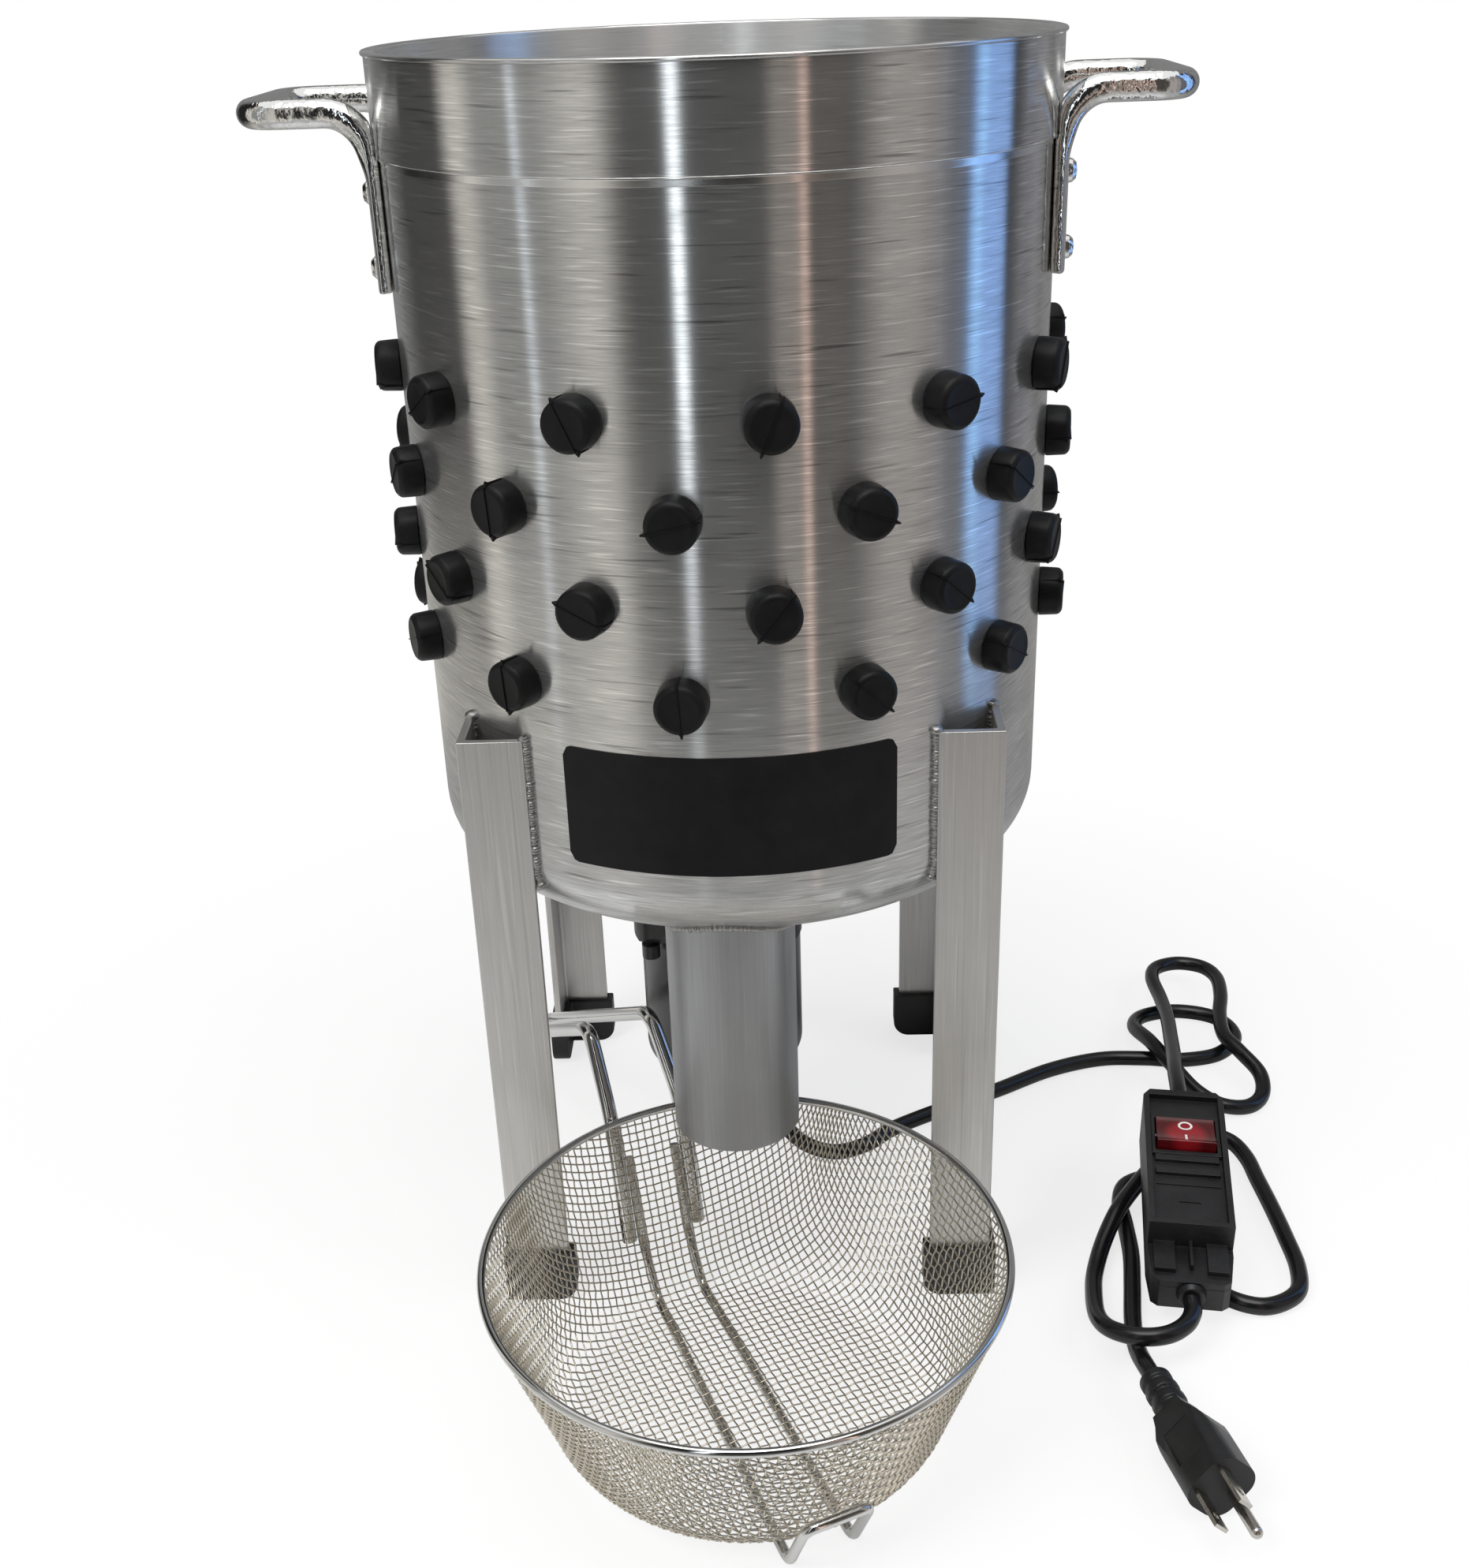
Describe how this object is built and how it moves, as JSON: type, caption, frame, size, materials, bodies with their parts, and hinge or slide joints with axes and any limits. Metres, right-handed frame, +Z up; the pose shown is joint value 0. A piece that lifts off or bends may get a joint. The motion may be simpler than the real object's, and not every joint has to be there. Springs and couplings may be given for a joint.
{
  "type": "poultry plucker",
  "caption": "Drum poultry plucker: aluminium pot on angle legs with rubber fingers, turning feather plate, geared motor, drain spout, mesh basket and switched cord",
  "frame": {"origin": "on the floor, under the drum's axis, at the middle of the four feet", "axes": "+Z up along the drum's axis, -Y towards the spout and basket, +X towards the side with the switch"},
  "size_m": [0.4357, 0.4266, 0.5042],
  "materials": {
    "drum_alloy": "brushed around the drum",
    "cast_alloy": "polished casting",
    "leg_alloy": "satin, brushed along",
    "foot_black": "moulded",
    "finger_rubber": "moulded, matt",
    "plate_alloy": "turned",
    "bare_steel": "zinc plated",
    "seal_rubber": "moulded",
    "drive_black": "black paint",
    "screw_black": "black oxide",
    "cord_black": "smooth sheath",
    "switch_black": "moulded, fine grain",
    "rocker_red": "clear red moulding",
    "pin_metal": "nickel plated",
    "mesh_steel": "bright woven wire",
    "wire_chrome": "bright wire"
  },
  "bodies": {
    "frame": {"drum_pot": "drum_alloy", "drain_spout": "drum_alloy", "handle_left": "cast_alloy", "handle_right": "cast_alloy", "handle_rivets_left": "cast_alloy", "handle_rivets_right": "cast_alloy", "leg_front_left": "leg_alloy", "leg_front_right": "leg_alloy", "leg_rear_left": "leg_alloy", "leg_rear_right": "leg_alloy", "foot_front_left": "foot_black", "foot_front_right": "foot_black", "foot_rear_left": "foot_black", "foot_rear_right": "foot_black", "drum_fingers_row_1": "finger_rubber", "drum_fingers_row_2": "finger_rubber", "drum_fingers_row_3": "finger_rubber", "drum_fingers_row_4": "finger_rubber", "mounting_screws": "bare_steel", "switch_screws": "bare_steel", "shaft_seal": "seal_rubber", "gearbox_flange": "drive_black", "gearbox_case": "drive_black", "motor_can": "drive_black", "motor_end_cap": "drive_black", "gearbox_screws": "screw_black", "motor_lead": "cord_black", "plug_lead": "cord_black", "cord_gland": "cord_black", "plug_relief": "cord_black", "plug_body": "cord_black", "switch_grommets": "cord_black", "switch_base": "switch_black", "switch_cover": "switch_black", "switch_bezel": "switch_black", "plug_blades": "pin_metal", "ground_pin": "pin_metal"},
    "plate": {"feather_plate": "plate_alloy", "plate_fingers": "finger_rubber", "drive_hub": "plate_alloy", "hub_screws": "bare_steel", "hub_set_screw": "bare_steel", "output_shaft": "bare_steel"},
    "rocker": {"switch_rocker": "rocker_red"},
    "basket": {"basket_bowl": "mesh_steel", "basket_rim": "wire_chrome", "basket_handle": "wire_chrome", "basket_runners": "wire_chrome"}
  },
  "joints": [
    {"name": "plate_spin", "type": "hinge", "parent": "frame", "child": "plate", "pos_m": [0, 0, 0.2], "axis": [0, 0, 1], "continuous": true},
    {"name": "rocker_tilt", "type": "hinge", "parent": "frame", "child": "rocker", "pos_m": [0.19567, -0.05616, 0.04394], "axis": [0.9891, -0.1469, 0], "range_deg": [0, 18]},
    {"name": "basket_slide", "type": "slide", "parent": "frame", "child": "basket", "axis": [0, -1, 0], "range_m": [0, 0.02]}
  ]
}
